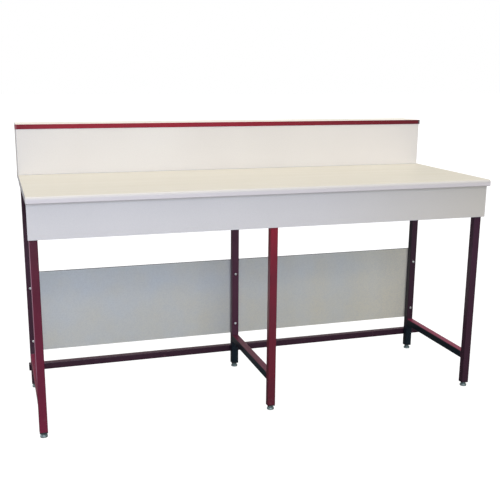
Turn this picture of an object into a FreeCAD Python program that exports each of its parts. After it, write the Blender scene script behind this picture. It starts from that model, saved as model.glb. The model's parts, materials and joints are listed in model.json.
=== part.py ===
import FreeCAD, Part
import math
import os
import re
import Sketcher

# Laboratory bench: a laminate worktop on three square-tube leg frames with levelling feet,
# a fascia under its front edge, a panel between the rear legs and a service upstand at the back.
# Millimetres, +Z up. The origin is on the floor, in the middle of the bench's footprint.
# The front faces -Y, and +X runs to the right for someone who stands in front of it.

# Driving dimensions

SIZES = {
    # Worktop
    "worktop_length": 1800,
    "worktop_depth": 750,
    "worktop_thickness": 25,
    "worktop_height": 895,
    "worktop_nose_radius": 10,
    "worktop_heel_radius": 3,
    # Square tube of the leg frames, and where the frames stand under the worktop
    "tube_width": 30,
    "tube_wall": 2,
    "tube_corner_radius": 3,
    "frame_inset": 5,
    "frame_setback": 40,
    "frame_depth": 533,
    "side_rail_height": 122,
    "top_rail_setback": 5,
    # Rear rail, longer than the row of frames at both ends
    "rear_rail_width": 28,
    "rear_rail_wall": 2,
    "rear_rail_corner_radius": 2.5,
    "rear_rail_height": 67,
    "rear_rail_left_overhang": 4,
    "rear_rail_right_overhang": 64,
    # Push-in caps of the open tube ends
    "cap_flange": 3,
    "cap_plug_length": 15,
    "cap_plug_clearance": 0.1,
    # Rear panel and the bolts that hold it to the rear legs
    "panel_height": 340,
    "panel_underside": 155,
    "panel_thickness": 10,
    "panel_end_inset": 2,
    "panel_bolt_low": 52,
    "panel_bolt_pitch": 228,
    "bolt_radius": 3,
    "bolt_hole_clearance": 0.3,
    "bolt_head_radius": 5.5,
    "bolt_head_height": 3.3,
    "bolt_end_length": 2,
    "washer_radius": 6.5,
    "washer_thickness": 1.2,
    "nut_corner_radius": 5.8,
    "nut_height": 5,
    # Fascia under the worktop's front edge
    "fascia_height": 128,
    "fascia_thickness": 19,
    "fascia_end_inset": 2,
    # Service upstand: front board, shelf, two end boards and a coloured trim
    "upstand_height": 200,
    "upstand_depth": 150,
    "upstand_end_inset": 1,
    "upstand_board": 18,
    "shelf_thickness": 18,
    "trim_depth": 14,
    "trim_wall": 1.5,
    "trim_corner_radius": 1.2,
    "trim_proud": 2,
    "trim_overhang": 3,
    "trim_cap_length": 8,
    # Wood screws
    "screw_radius": 2.5,
    "screw_head_radius": 5,
    "screw_head_height": 2.6,
    "screw_bite": 12,
    "fastener_clearance": 0.05,
    # Angle brackets between fascia and worktop
    "bracket_leg": 36,
    "bracket_width": 22,
    "bracket_thickness": 2.5,
    # Corner blocks behind the upstand's front board, and dowels of its end boards
    "block_side": 20,
    "block_length": 50,
    "dowel_radius": 4,
    "dowel_half_length": 12,
    # Levelling feet
    "insert_flange": 4.5,
    "insert_plug_length": 22,
    "pad_radius": 14,
    "pad_top_radius": 10.5,
    "pad_height": 10,
    "pad_rim_height": 6.5,
    "socket_depth": 6,
    "swivel_radius": 6,
    "swivel_clearance": 0.05,
    "collar_gap": 0.3,
    "collar_corner_radius": 8.6,
    "collar_height": 5,
    "collar_free_travel": 1.7,
    "stud_radius": 5,
    "stud_clearance": 0.05,
    "stud_thread_length": 36,
}

# Where the pieces stand, worked out from the sizes

PLACES = {
    "left_reach": "max(trim_overhang; rear_rail_left_overhang + cap_flange - frame_inset)",
    "right_reach": "max(trim_overhang; rear_rail_right_overhang + cap_flange - frame_inset)",
    "bench_left": "-(worktop_length + right_reach - left_reach) / 2",
    "bench_right": "bench_left + worktop_length",
    "bench_front": "-worktop_depth / 2",
    "bench_back": "bench_front + worktop_depth",
    "worktop_underside": "worktop_height - worktop_thickness",
    "collar_underside": "pad_height + collar_gap",
    "leg_foot": "collar_underside + collar_height + collar_free_travel + insert_flange",
    "leg_top": "worktop_underside - tube_width",
    "leg_length": "leg_top - leg_foot",
    "left_frame": "bench_left + frame_inset + tube_width / 2",
    "right_frame": "bench_right - frame_inset - tube_width / 2",
    "centre_frame": "(left_frame + right_frame) / 2",
    "frame_front": "bench_front + frame_setback",
    "frame_back": "frame_front + frame_depth",
    "front_leg": "frame_front + tube_width / 2",
    "rear_leg": "frame_back - tube_width / 2",
    "side_rail_front": "frame_front + tube_width",
    "side_rail_length": "frame_depth - 2 * tube_width",
    "top_rail_back": "bench_back - top_rail_setback - cap_flange",
    "top_rail_length": "top_rail_back - frame_front",
    "rear_rail_left": "left_frame - tube_width / 2 - rear_rail_left_overhang",
    "rear_rail_right": "right_frame + tube_width / 2 + rear_rail_right_overhang",
    "rear_rail_middle": "frame_back + rear_rail_width / 2",
    "panel_left": "left_frame - tube_width / 2 + panel_end_inset",
    "panel_length": "right_frame - left_frame + tube_width - 2 * panel_end_inset",
    "panel_back": "frame_back + panel_thickness",
    "panel_bolt_length": "tube_width + panel_thickness + washer_thickness + nut_height + bolt_end_length",
    "fascia_left": "bench_left + fascia_end_inset",
    "fascia_length": "worktop_length - 2 * fascia_end_inset",
    "fascia_underside": "worktop_underside - fascia_height",
    "upstand_left": "bench_left + upstand_end_inset",
    "upstand_right": "bench_right - upstand_end_inset",
    "upstand_length": "upstand_right - upstand_left",
    "upstand_front": "bench_back - upstand_depth",
    "upstand_inside": "upstand_front + upstand_board",
    "end_board_depth": "bench_back - upstand_inside",
    "shelf_underside": "worktop_height + upstand_height - shelf_thickness",
    "trim_front": "upstand_front - trim_proud",
    "trim_back": "trim_front + trim_depth",
    "trim_left": "bench_left - trim_overhang + trim_cap_length",
    "trim_right": "bench_right + trim_overhang - trim_cap_length",
}

# Places along a piece, as shares of its length

RAIL_SCREW_SHARES = (0.12, 0.5, 0.9)
FASCIA_SCREW_SHARES = (0.25, 0.75)
BRACKET_SHARES = (0.13, 0.37, 0.63, 0.87)
BRACKET_HOLE_SHARE = 0.6
BLOCK_SHARES = (0.08, 0.36, 0.64, 0.92)
BLOCK_BACK_SCREW_SHARE = 0.3
BLOCK_DOWN_SCREW_SHARE = 0.7
DOWEL_SHARES = (0.25, 0.8)
DOME_SHARE = 0.85
MATCH_SHARE = 1e-6

FRAMES = ("left", "centre", "right")
ALL_CORNERS = ((-1, -1), (1, -1), (1, 1), (-1, 1))
RIGHTWARD = FreeCAD.Vector(1, 0, 0)
BACKWARD = FreeCAD.Vector(0, 1, 0)
UPWARD = FreeCAD.Vector(0, 0, 1)

doc = FreeCAD.newDocument("laboratory_bench")
parts = []


def formula(text):
    """Put the name of its sheet before each size and place in a formula."""
    def with_sheet(word):
        name = word.group(0)
        if name in SIZES:
            return "Dims." + name
        if name in PLACES:
            return "Places." + name
        return name
    return re.sub(r"[a-z_]+", with_sheet, text)


def fill_sheet(name, cells):
    """One row for each value: its name, then the value under that name as its alias."""
    sheet = doc.addObject("Spreadsheet::Sheet", name)
    for row, (alias, content) in enumerate(cells.items(), start=1):
        sheet.set(f"A{row}", alias)
        sheet.set(f"B{row}", content)
        sheet.setAlias(f"B{row}", alias)
    return sheet


dims = fill_sheet("Dims", {name: str(size) for name, size in SIZES.items()})
fill_sheet("Places", {name: "=" + formula(text) for name, text in PLACES.items()})
doc.recompute()


def value(text):
    return dims.evalExpression(formula(text))


def bind(obj, **sizes):
    for prop, text in sizes.items():
        obj.setExpression(prop, formula(text))


def place(obj, x, y, z, direction=UPWARD):
    """Stand an object at a point, with its own Z axis along a direction."""
    obj.Placement = FreeCAD.Placement(FreeCAD.Vector(), FreeCAD.Rotation(UPWARD, direction))
    for axis, text in zip("xyz", (x, y, z)):
        obj.setExpression(f"Placement.Base.{axis}", formula(text))
    return obj


def finish(obj, label):
    """Make an object one of the bench's sub-parts."""
    obj.Label = label
    parts.append(obj)


def box(name, corner, size):
    obj = doc.addObject("Part::Box", name)
    bind(obj, Length=size[0], Width=size[1], Height=size[2])
    return place(obj, *corner)


def cylinder(name, foot, radius, height, direction=UPWARD):
    obj = doc.addObject("Part::Cylinder", name)
    bind(obj, Radius=radius, Height=height)
    return place(obj, *foot, direction)


def hexagon(name, foot, corner_radius, height):
    obj = doc.addObject("Part::Prism", name)
    obj.Polygon = 6
    bind(obj, Circumradius=corner_radius, Height=height)
    return place(obj, *foot)


def group(name, shapes):
    obj = doc.addObject("Part::Compound", name)
    obj.Links = shapes
    return obj


def copies(name, master, spots):
    """Identical pieces as one group. A spot is x, y, z and, if not upward, a direction."""
    links = []
    for spot in spots:
        link = doc.addObject("App::Link", name + "_copy")
        link.LinkedObject = master
        links.append(place(link, *spot))
    return group(name, links)


def fuse(name, shapes):
    obj = doc.addObject("Part::MultiFuse", name)
    obj.Shapes = shapes
    obj.Refine = True
    return obj


def drill(name, base, radius, holes):
    """Holes of one radius. Each hole is a spot on the surface, a direction and a depth."""
    tools = [
        cylinder(name + "_bore", spot, radius, depth, direction) for spot, direction, depth in holes
    ]
    obj = doc.addObject("Part::Cut", name)
    obj.Base = base
    obj.Tool = group(name + "_bores", tools)
    return obj


def start_sketch(body, role):
    """A sketch on one of the body's own origin planes."""
    sketch = body.newObject("Sketcher::SketchObject", body.Name + "_outline")
    plane = next(item for item in body.Origin.OriginFeatures if item.Role == role)
    sketch.AttachmentSupport = (plane, [""])
    sketch.MapMode = "FlatFace"
    return sketch


def close_outline(sketch, corners):
    """Straight lines from corner to corner and back to the first. Returns the first line's number."""
    first = sketch.GeometryCount
    lines = range(first, first + len(corners))
    followers = [*lines[1:], first]
    for corner, following in zip(corners, [*corners[1:], corners[0]]):
        sketch.addGeometry(Part.LineSegment(FreeCAD.Vector(*corner), FreeCAD.Vector(*following)))
    for line, follower in zip(lines, followers):
        sketch.addConstraint(Sketcher.Constraint("Coincident", line, 2, follower, 1))
    return first


def draw_rectangle(sketch, width, depth):
    """A rectangle whose middle is the sketch's origin."""
    half_width = value(width) / 2
    half_depth = value(depth) / 2
    corners = [(sx * half_width, sy * half_depth) for sx, sy in ALL_CORNERS]
    front = close_outline(sketch, corners)
    for side, kind in enumerate(("Horizontal", "Vertical", "Horizontal", "Vertical")):
        sketch.addConstraint(Sketcher.Constraint(kind, front + side))
    sketch.addConstraint(Sketcher.Constraint("Symmetric", front, 1, front + 2, 1, -1, 1))
    for line, text in ((front, width), (front + 1, depth)):
        number = sketch.addConstraint(Sketcher.Constraint("Distance", line, value(text)))
        sketch.setExpression(f"Constraints[{number}]", formula(text))


def bar(name, width, depth, length, wall=None):
    """A straight bar along its own Z axis, hollow if it has a wall."""
    body = doc.addObject("PartDesign::Body", name)
    sketch = start_sketch(body, "XY_Plane")
    draw_rectangle(sketch, width, depth)
    if wall:
        draw_rectangle(sketch, f"{width} - 2 * {wall}", f"{depth} - 2 * {wall}")
    pad = body.newObject("PartDesign::Pad", name + "_run")
    pad.Profile = sketch
    bind(pad, Length=length)
    return body


def round_edges(body, radius, spots, spot_of):
    """Round the edges of a body's last feature that start and end over one of some spots."""
    doc.recompute()
    feature = body.Tip
    reach = value(radius) * MATCH_SHARE
    names = []
    for number, edge in enumerate(feature.Shape.Edges, start=1):
        ends = [spot_of(vertex.Point) for vertex in edge.Vertexes]
        if any(all(math.dist(end, spot) < reach for end in ends) for spot in spots):
            names.append(f"Edge{number}")
    fillet = body.newObject("PartDesign::Fillet", body.Name + "_rounding")
    fillet.Base = (feature, names)
    bind(fillet, Radius=radius)


def round_bar(body, width, depth, radius, corners=ALL_CORNERS):
    """Round a bar's long edges at the corners of its section that have these signs."""
    spots = [(sx * value(width) / 2, sy * value(depth) / 2) for sx, sy in corners]
    round_edges(body, radius, spots, lambda point: (point.x, point.y))


def square_tube(name, width, wall, corner_radius, length, start, direction=UPWARD):
    body = bar(name, width, width, length, wall)
    round_bar(body, width, width, corner_radius)
    return place(body, *start, direction)


def plug(name, width, depth, wall, corner_radius, flange):
    """A push-in end cap: its flange lies below its origin, its plug reaches up into the tube."""
    head = bar(name + "_flange", width, depth, flange)
    round_bar(head, width, depth, corner_radius)
    place(head, "0", "0", f"-{flange}")
    inner = f"2 * ({wall} + cap_plug_clearance)"
    body = bar(name + "_plug", f"{width} - {inner}", f"{depth} - {inner}", "cap_plug_length")
    return fuse(name, [head, body])


def turned(name, profile):
    """A body of revolution about its own Z axis. The profile's points are radius and height."""
    body = doc.addObject("PartDesign::Body", name)
    sketch = start_sketch(body, "XZ_Plane")
    first = close_outline(sketch, [(value(radius), value(height)) for radius, height in profile])
    for line, (radius, height) in enumerate(profile, start=first):
        for kind, text, axis in (("DistanceX", radius, -2), ("DistanceY", height, -1)):
            if text == "0":
                sketch.addConstraint(Sketcher.Constraint("PointOnObject", line, 1, axis))
            else:
                number = sketch.addConstraint(Sketcher.Constraint(kind, -1, 1, line, 1, value(text)))
                sketch.setExpression(f"Constraints[{number}]", formula(text))
    turn = body.newObject("PartDesign::Revolution", name + "_turn")
    turn.Profile = sketch
    turn.ReferenceAxis = (sketch, ["V_Axis"])
    turn.Angle = 360
    return body


def domed_pin(name, radius, length, head_radius, head_height, tip):
    """A bolt or screw that points up from the underside of its domed head."""
    profile = [
        ("0", f"-{head_height}"), (head_radius, f"-{head_height}"), (head_radius, "0"), (radius, "0"),
        (radius, f"{length} - {tip}"), ("0", length),
    ]
    body = turned(name, profile)
    rim = (value(head_radius), -value(head_height))
    round_edges(
        body, f"{head_height} * {DOME_SHARE}", [rim], lambda point: (math.hypot(point.x, point.y), point.z),
    )
    return body


def wood_screw(name, grip):
    return domed_pin(
        name, "screw_radius", f"({grip} + screw_bite)",
        "screw_head_radius", "screw_head_height", "screw_radius",
    )


# Worktop, with a rounded nose along its front edge

board = bar("worktop_board", "worktop_thickness", "worktop_depth", "worktop_length")
place(board, "bench_left", "0", "worktop_height - worktop_thickness / 2", RIGHTWARD)
round_bar(board, "worktop_thickness", "worktop_depth", "worktop_nose_radius", [(-1, -1)])
round_bar(board, "worktop_thickness", "worktop_depth", "worktop_heel_radius", [(1, -1)])

rail_screw_spots = [
    (f"{frame}_frame", f"frame_front + {share} * top_rail_length", "leg_top")
    for frame in FRAMES
    for share in RAIL_SCREW_SHARES
]
rail_screw_holes = [((x, y, "worktop_underside"), UPWARD, "screw_bite") for x, y, z in rail_screw_spots]
bracket_middles = [f"bench_left + {share} * worktop_length" for share in BRACKET_SHARES]
bracket_hole = f"{BRACKET_HOLE_SHARE} * bracket_leg"
ledge_screw_holes = [
    ((x, f"frame_front + {bracket_hole}", "worktop_underside"), UPWARD, "screw_bite")
    for x in bracket_middles
]
block_lefts = [
    f"upstand_left + {share} * upstand_length - block_length / 2" for share in BLOCK_SHARES
]
block_down_holes = [
    (
        (
            f"{left} + {BLOCK_DOWN_SCREW_SHARE} * block_length",
            "upstand_inside + block_side / 2",
            "worktop_height - screw_bite",
        ),
        UPWARD,
        "screw_bite",
    )
    for left in block_lefts
]
dowel_spots = [
    (x, f"upstand_inside + {share} * end_board_depth", f"{seam} - dowel_half_length")
    for x in ("upstand_left + upstand_board / 2", "upstand_right - upstand_board / 2")
    for share in DOWEL_SHARES
    for seam in ("worktop_height", "shelf_underside")
]
dowel_holes = [(spot, UPWARD, "2 * dowel_half_length") for spot in dowel_spots]
screw_hole_radius = "screw_radius + fastener_clearance"
dowel_hole_radius = "dowel_radius + fastener_clearance"

screw_holes = rail_screw_holes + ledge_screw_holes + block_down_holes
board = drill("worktop_screwed", board, screw_hole_radius, screw_holes)
finish(drill("worktop_dowelled", board, dowel_hole_radius, dowel_holes), "worktop")

# Leg frames: legs, top rails that carry the worktop, and low side rails

fascia_screw_heights = [
    f"fascia_underside + {share} * (leg_top - fascia_underside)" for share in FASCIA_SCREW_SHARES
]
lower_bolt = "panel_underside + panel_bolt_low"
panel_bolt_heights = [lower_bolt, f"{lower_bolt} + panel_bolt_pitch"]

for frame in FRAMES:
    middle = f"{frame}_frame"
    for row in ("front", "rear"):
        leg = square_tube(
            f"{row}_{frame}_tube", "tube_width", "tube_wall", "tube_corner_radius",
            "leg_length", (middle, f"{row}_leg", "leg_foot"),
        )
        if row == "front":
            radius = screw_hole_radius
            heights = fascia_screw_heights
        else:
            radius = "bolt_radius + bolt_hole_clearance"
            heights = panel_bolt_heights
        holes = [((middle, f"{row}_leg - tube_width / 2", z), BACKWARD, "tube_width") for z in heights]
        finish(drill(f"{row}_{frame}_drilled", leg, radius, holes), f"{row}_{frame}_leg")
    rail = square_tube(
        f"{frame}_top_tube", "tube_width", "tube_wall", "tube_corner_radius",
        "top_rail_length", (middle, "frame_front", "leg_top + tube_width / 2"), BACKWARD,
    )
    holes = [((x, y, z), UPWARD, "tube_width") for x, y, z in rail_screw_spots if x == middle]
    finish(drill(f"{frame}_top_drilled", rail, screw_hole_radius, holes), f"{frame}_top_rail")
    finish(
        square_tube(
            f"{frame}_side_tube", "tube_width", "tube_wall", "tube_corner_radius",
            "side_rail_length", (middle, "side_rail_front", "side_rail_height + tube_width / 2"), BACKWARD,
        ),
        f"{frame}_side_rail",
    )

tube_cap = plug(
    "tube_cap", "tube_width", "tube_width", "tube_wall", "tube_corner_radius", "cap_flange",
)
top_rail_ends = [
    (f"{frame}_frame", "top_rail_back", "leg_top + tube_width / 2", -BACKWARD) for frame in FRAMES
]
finish(copies("top_rail_plugs", tube_cap, top_rail_ends), "top_rail_caps")

# Rear rail behind the legs, with a cap in each end

rail_height = "rear_rail_height + rear_rail_width / 2"
finish(
    square_tube(
        "rear_rail_tube", "rear_rail_width", "rear_rail_wall", "rear_rail_corner_radius",
        "rear_rail_right - rear_rail_left", ("rear_rail_left", "rear_rail_middle", rail_height), RIGHTWARD,
    ),
    "rear_rail",
)
for side, direction in (("left", RIGHTWARD), ("right", -RIGHTWARD)):
    cap = plug(
        f"rear_rail_{side}_plug", "rear_rail_width", "rear_rail_width", "rear_rail_wall",
        "rear_rail_corner_radius", "cap_flange",
    )
    place(cap, f"rear_rail_{side}", "rear_rail_middle", rail_height, direction)
    finish(cap, f"rear_rail_{side}_cap")

# Rear panel, bolted to the rear legs

bolt_spots = [
    (f"{frame}_frame", "frame_back - tube_width", z, BACKWARD)
    for frame in FRAMES
    for z in panel_bolt_heights
]
panel = box(
    "panel_board", ("panel_left", "frame_back", "panel_underside"),
    ("panel_length", "panel_thickness", "panel_height"),
)
panel_holes = [
    ((x, "frame_back", z), direction, "panel_thickness") for x, y, z, direction in bolt_spots
]
finish(drill("panel_drilled", panel, "bolt_radius + bolt_hole_clearance", panel_holes), "rear_panel")
bolt = domed_pin(
    "bolt", "bolt_radius", "panel_bolt_length", "bolt_head_radius", "bolt_head_height", "0",
)
finish(copies("bolts", bolt, bolt_spots), "panel_bolts")

nut_bore = [(("0", "0", "0"), UPWARD, "nut_height")]
washer_bore = [(("0", "0", "0"), UPWARD, "washer_thickness")]
washer_blank = cylinder("washer_blank", ("0", "0", "0"), "washer_radius", "washer_thickness")
washer = drill("washer", washer_blank, "bolt_radius + bolt_hole_clearance", washer_bore)
nut_blank = hexagon("nut_blank", ("0", "0", "0"), "nut_corner_radius", "nut_height")
nut = drill("nut", nut_blank, "bolt_radius + fastener_clearance", nut_bore)
washer_spots = [(x, "panel_back", z, direction) for x, y, z, direction in bolt_spots]
nut_spots = [
    (x, "panel_back + washer_thickness", z, direction) for x, y, z, direction in bolt_spots
]
finish(copies("washers", washer, washer_spots), "panel_washers")
finish(copies("nuts", nut, nut_spots), "panel_nuts")

# Fascia, screwed to the front legs and held to the worktop by angle brackets

fascia_screw_spots = [
    (f"{frame}_frame", "side_rail_front", z, -BACKWARD) for frame in FRAMES for z in fascia_screw_heights
]
wall_screw_spots = [
    (x, "frame_front + bracket_thickness", f"worktop_underside - {bracket_hole}", -BACKWARD)
    for x in bracket_middles
]
ledge_screw_spots = [
    (x, f"frame_front + {bracket_hole}", "worktop_underside - bracket_thickness", UPWARD)
    for x in bracket_middles
]
fascia_holes = [
    ((x, "frame_front", z), direction, "screw_bite")
    for x, y, z, direction in fascia_screw_spots + wall_screw_spots
]
fascia = box(
    "fascia_board", ("fascia_left", "frame_front - fascia_thickness", "fascia_underside"),
    ("fascia_length", "fascia_thickness", "fascia_height"),
)
finish(drill("fascia_drilled", fascia, screw_hole_radius, fascia_holes), "front_fascia")

bracket_wall = box(
    "bracket_wall", ("0", "0", "-bracket_leg"),
    ("bracket_width", "bracket_thickness", "bracket_leg"),
)
bracket_ledge = box(
    "bracket_ledge", ("0", "0", "-bracket_thickness"),
    ("bracket_width", "bracket_leg", "bracket_thickness"),
)
bracket_holes = [
    (("bracket_width / 2", "0", f"-{bracket_hole}"), BACKWARD, "bracket_thickness"),
    (("bracket_width / 2", bracket_hole, "-bracket_thickness"), UPWARD, "bracket_thickness"),
]
bracket_angle = fuse("bracket_angle", [bracket_wall, bracket_ledge])
bracket = drill("bracket", bracket_angle, screw_hole_radius, bracket_holes)
bracket_spots = [(f"{x} - bracket_width / 2", "frame_front", "worktop_underside") for x in bracket_middles]
finish(copies("brackets", bracket, bracket_spots), "fascia_brackets")

long_screw = wood_screw("long_screw", "tube_width")
short_screw = wood_screw("short_screw", "bracket_thickness")
block_screw = wood_screw("block_screw", "block_side")
finish(copies("rail_screws", long_screw, rail_screw_spots), "worktop_screws")
finish(copies("leg_screws", long_screw, fascia_screw_spots), "fascia_screws")
finish(copies("angle_screws", short_screw, wall_screw_spots + ledge_screw_spots), "bracket_screws")

# Service upstand: a shelf on a front board and two end boards, open at the back

board_height = "upstand_height - shelf_thickness"
block_back_spots = [
    (
        f"{left} + {BLOCK_BACK_SCREW_SHARE} * block_length",
        "upstand_inside + block_side",
        "worktop_height + block_side / 2",
        -BACKWARD,
    )
    for left in block_lefts
]
block_down_spots = [
    (x, y, "worktop_height + block_side", -UPWARD) for (x, y, z), direction, depth in block_down_holes
]
front_holes = [
    ((x, "upstand_inside", z), direction, "screw_bite") for x, y, z, direction in block_back_spots
]
front_board = box(
    "upstand_front_board", ("upstand_left", "upstand_front", "worktop_height"),
    ("upstand_length", "upstand_board", board_height),
)
finish(drill("upstand_front_drilled", front_board, screw_hole_radius, front_holes), "upstand_front")
for side, left in (("left", "upstand_left"), ("right", "upstand_right - upstand_board")):
    end_board = box(
        f"upstand_{side}_board", (left, "upstand_inside", "worktop_height"),
        ("upstand_board", "end_board_depth", board_height),
    )
    end_board = drill(f"upstand_{side}_drilled", end_board, dowel_hole_radius, dowel_holes)
    finish(end_board, f"upstand_{side}_end")
shelf = box(
    "shelf_board", ("upstand_left", "trim_back", "shelf_underside"),
    ("upstand_length", "bench_back - trim_back", "shelf_thickness"),
)
finish(drill("shelf_drilled", shelf, dowel_hole_radius, dowel_holes), "upstand_shelf")
dowel = cylinder("dowel", ("0", "0", "0"), "dowel_radius", "2 * dowel_half_length")
finish(copies("dowels", dowel, dowel_spots), "upstand_dowels")

block_holes = [
    ((f"{BLOCK_BACK_SCREW_SHARE} * block_length", "0", "block_side / 2"), BACKWARD, "block_side"),
    ((f"{BLOCK_DOWN_SCREW_SHARE} * block_length", "block_side / 2", "0"), UPWARD, "block_side"),
]
block_blank = box("block_blank", ("0", "0", "0"), ("block_length", "block_side", "block_side"))
block = drill("block", block_blank, screw_hole_radius, block_holes)
block_spots = [(left, "upstand_inside", "worktop_height") for left in block_lefts]
finish(copies("blocks", block, block_spots), "corner_blocks")
finish(copies("block_screws_set", block_screw, block_back_spots + block_down_spots), "block_screws")

trim_middle = "trim_front + trim_depth / 2"
trim_height = "shelf_underside + shelf_thickness / 2"
trim = bar("trim_tube", "shelf_thickness", "trim_depth", "trim_right - trim_left", "trim_wall")
round_bar(trim, "shelf_thickness", "trim_depth", "trim_corner_radius")
finish(place(trim, "trim_left", trim_middle, trim_height, RIGHTWARD), "upstand_trim")
for side, direction in (("left", RIGHTWARD), ("right", -RIGHTWARD)):
    cap = plug(
        f"trim_{side}_plug", "shelf_thickness", "trim_depth", "trim_wall",
        "trim_corner_radius", "trim_cap_length",
    )
    finish(place(cap, f"trim_{side}", trim_middle, trim_height, direction), f"trim_{side}_cap")

# Levelling feet: an insert in each leg, a threaded stud through it, and a pad that the stud turns in

insert_head = bar("insert_flange", "tube_width", "tube_width", "insert_flange")
round_bar(insert_head, "tube_width", "tube_width", "tube_corner_radius")
place(insert_head, "0", "0", "-insert_flange")
insert_width = "tube_width - 2 * (tube_wall + cap_plug_clearance)"
insert_body = bar("insert_plug", insert_width, insert_width, "insert_plug_length")
insert_bore = [(("0", "0", "-insert_flange"), UPWARD, "insert_flange + insert_plug_length")]
insert_blank = fuse("insert_blank", [insert_head, insert_body])
insert = drill("insert", insert_blank, "stud_radius + stud_clearance", insert_bore)
feet = [(row, frame) for row in ("front", "rear") for frame in FRAMES]
insert_spots = [(f"{frame}_frame", f"{row}_leg", "leg_foot") for row, frame in feet]
finish(copies("inserts", insert, insert_spots), "foot_inserts")

socket_radius = "swivel_radius + swivel_clearance"
socket_floor = "pad_height - socket_depth"
for row, frame in feet:
    name = f"{row}_{frame}_foot"
    x = f"{frame}_frame"
    y = f"{row}_leg"
    pad = turned(f"{name}_disc", [
        ("0", "0"), ("pad_radius", "0"), ("pad_radius", "pad_rim_height"), ("pad_top_radius", "pad_height"),
        (socket_radius, "pad_height"), (socket_radius, socket_floor), ("0", socket_floor),
    ])
    finish(place(pad, x, y, "0"), f"{name}_pad")
    pin = cylinder(f"{name}_pin", (x, y, socket_floor), "swivel_radius", "socket_depth + collar_gap")
    collar = hexagon(f"{name}_collar", (x, y, "collar_underside"), "collar_corner_radius", "collar_height")
    thread = cylinder(
        f"{name}_thread", (x, y, "collar_underside + collar_height"), "stud_radius", "stud_thread_length",
    )
    finish(fuse(f"{name}_screw", [pin, collar, thread]), f"{name}_stud")

# Every piece is checked before any is written

doc.recompute()
for obj in doc.Objects:
    if {"Invalid", "Error"} & set(obj.State):
        raise RuntimeError(f"{obj.Label} could not be built")
for part in parts:
    if part.Shape.isNull() or not part.Shape.isValid():
        raise RuntimeError(f"{part.Label} has no valid shape")

os.makedirs("parts", exist_ok=True)
for part in parts:
    part.Shape.exportStep(f"parts/{part.Label}.step")
print(len(parts), "pieces")
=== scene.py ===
import json
import math

import bpy
from mathutils import Matrix, Vector

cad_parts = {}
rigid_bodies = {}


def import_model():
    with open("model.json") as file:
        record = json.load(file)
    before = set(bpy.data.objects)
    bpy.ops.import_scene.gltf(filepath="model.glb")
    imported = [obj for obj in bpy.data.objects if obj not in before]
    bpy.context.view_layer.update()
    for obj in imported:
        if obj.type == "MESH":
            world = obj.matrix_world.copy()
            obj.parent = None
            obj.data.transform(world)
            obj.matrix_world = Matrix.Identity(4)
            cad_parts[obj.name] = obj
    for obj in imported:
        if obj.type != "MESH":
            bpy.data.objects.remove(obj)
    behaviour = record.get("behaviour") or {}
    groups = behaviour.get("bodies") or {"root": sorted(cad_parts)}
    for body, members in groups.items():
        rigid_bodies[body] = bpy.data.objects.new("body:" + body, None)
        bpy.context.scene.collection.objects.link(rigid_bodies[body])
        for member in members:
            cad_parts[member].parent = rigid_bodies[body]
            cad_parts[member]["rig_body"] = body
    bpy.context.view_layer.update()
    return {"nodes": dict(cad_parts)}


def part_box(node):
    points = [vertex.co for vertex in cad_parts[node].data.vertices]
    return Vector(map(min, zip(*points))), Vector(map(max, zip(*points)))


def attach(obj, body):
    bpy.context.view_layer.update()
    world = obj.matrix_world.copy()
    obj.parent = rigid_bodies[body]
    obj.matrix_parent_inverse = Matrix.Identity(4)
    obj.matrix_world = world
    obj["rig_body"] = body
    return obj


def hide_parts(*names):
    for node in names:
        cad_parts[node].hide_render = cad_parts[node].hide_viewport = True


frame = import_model()

# Laboratory bench: laminate worktop and boards on burgundy square-tube frames with levelling feet.
# In metres, with +X to the right, +Y to the back, +Z up and the floor at zero under the middle.

MM = 0.001
X, Y, Z = range(3)
ALONG = Vector((1, 0, 0))
BACK = Vector((0, 1, 0))
FRONT = Vector((0, -1, 0))
UP = Vector((0, 0, 1))
DOWN = Vector((0, 0, -1))
FRAMES = ("left", "centre", "right")
ROWS = ("front", "rear")

# Sizes that more than one piece shares
TUBE_CORNER = 3 * MM
RAIL_CORNER = 2.5 * MM
WALL = 2 * MM
FLANGE = 3 * MM
PLUG_STEP = 2.1 * MM
WASHER = 1.2 * MM
BRACKET_LEG = 36 * MM
BRACKET_PLATE = 2.5 * MM


# Modelling by hand

def rest():
    """Nothing is open for editing and nothing is selected."""
    if bpy.context.object and bpy.context.object.mode != "OBJECT":
        bpy.ops.object.mode_set(mode="OBJECT")
    bpy.ops.object.select_all(action="DESELECT")


def take(piece):
    """Only this piece is selected."""
    rest()
    bpy.context.view_layer.objects.active = piece
    piece.select_set(True)


def settle(piece, name):
    """The piece's place goes into its mesh, and its object stays at the origin."""
    take(piece)
    bpy.ops.object.transform_apply(location=True, rotation=True, scale=True)
    piece.name = piece.data.name = name
    return piece


def block(name, low, high):
    """A block from its lowest corner to its highest."""
    low, high = Vector(low), Vector(high)
    rest()
    bpy.ops.mesh.primitive_cube_add(size=1, location=(low + high) / 2, scale=high - low)
    return settle(bpy.context.object, name)


def rod(name, foot, radius, length, sides=48):
    """A round or many-sided upright rod that stands on a point."""
    rest()
    bpy.ops.mesh.primitive_cylinder_add(
        vertices=sides, radius=radius, depth=length, location=Vector(foot) + UP * length / 2,
    )
    return settle(bpy.context.object, name)


def choose(piece, kind, test):
    """Open a piece with those of its faces, edges or points selected whose place passes the test."""
    take(piece)
    mesh = piece.data
    bpy.ops.object.mode_set(mode="EDIT")
    bpy.ops.mesh.select_mode(type=kind)
    bpy.ops.mesh.select_all(action="DESELECT")
    bpy.ops.object.mode_set(mode="OBJECT")
    if kind == "FACE":
        for face in mesh.polygons:
            face.select = bool(test(face.center, face.normal))
    elif kind == "EDGE":
        for edge in mesh.edges:
            edge.select = bool(test(*(mesh.vertices[n].co for n in edge.vertices)))
    else:
        for point in mesh.vertices:
            point.select = bool(test(point.co))
    bpy.ops.object.mode_set(mode="EDIT")


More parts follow.
